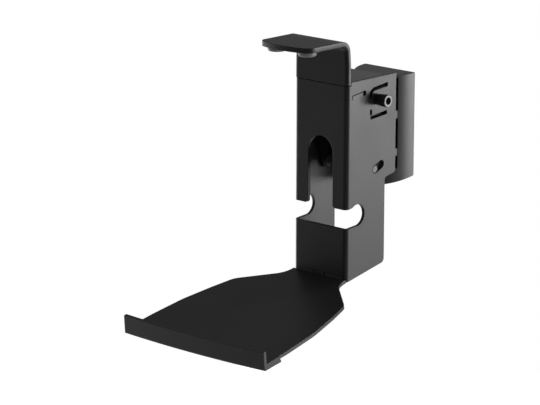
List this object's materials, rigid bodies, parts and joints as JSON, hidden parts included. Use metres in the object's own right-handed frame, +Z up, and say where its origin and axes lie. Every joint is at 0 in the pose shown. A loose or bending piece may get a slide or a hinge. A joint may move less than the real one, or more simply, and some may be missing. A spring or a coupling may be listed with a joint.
{
  "type": "speaker wall bracket",
  "caption": "Wall bracket for a table-top speaker: folded column with flared sloping shelf and lip, sliding top hook, tilt and swivel behind a covered wall plate.",
  "frame": {"origin": "middle of the wall unit's screw pattern, in the wall plane", "axes": "+Y into the wall, +Z up, +X to the right as seen from the room"},
  "size_m": [0.1606, 0.251, 0.2442],
  "materials": {
    "black_coat": "satin black powder coat",
    "screw_black": "blackened steel, satin",
    "pin_steel": "satin dark grey",
    "zinc": "zinc plated, satin",
    "cover_plastic": "fine matt black",
    "cap_plastic": "matt black",
    "nylon": "natural nylon, matt",
    "rubber": "matt black rubber"
  },
  "bodies": {
    "wall_unit": {"wall_plate": "zinc", "wall_bracket": "zinc", "wall_cover": "cover_plastic", "swivel_bolt": "zinc", "swivel_nut": "zinc", "plain_washers": "zinc", "friction_washers": "nylon"},
    "swivel_yoke": {"tilt_yoke": "black_coat", "swivel_tongues": "black_coat", "swivel_spacer": "zinc", "limit_pins": "pin_steel"},
    "arm": {"arm_column": "black_coat", "column_cap": "cap_plastic", "rear_edge_strips": "rubber", "pivot_studs": "zinc", "pivot_rings": "zinc", "pivot_washers": "nylon", "clamp_screw": "screw_black", "clamp_washer": "zinc", "clamp_nut": "zinc", "slide_shim": "nylon", "slide_studs": "zinc", "slide_washers": "zinc", "slide_nuts": "zinc", "front_lip": "black_coat", "lip_screws": "screw_black"},
    "hook": {"top_hook": "black_coat", "hook_slide": "zinc", "hook_pads": "rubber"}
  },
  "joints": [
    {"name": "swivel", "type": "hinge", "parent": "wall_unit", "child": "swivel_yoke", "pos_m": [0, -0.02, 0], "axis": [0, 0, 1], "range_deg": [-20, 20]},
    {"name": "tilt", "type": "hinge", "parent": "swivel_yoke", "child": "arm", "pos_m": [0, -0.076, 0.0333], "axis": [-1, 0, 0], "range_deg": [0, 7]},
    {"name": "hook_slide", "type": "slide", "parent": "arm", "child": "hook", "axis": [0, 0, 1], "range_m": [0, 0.02]}
  ]
}
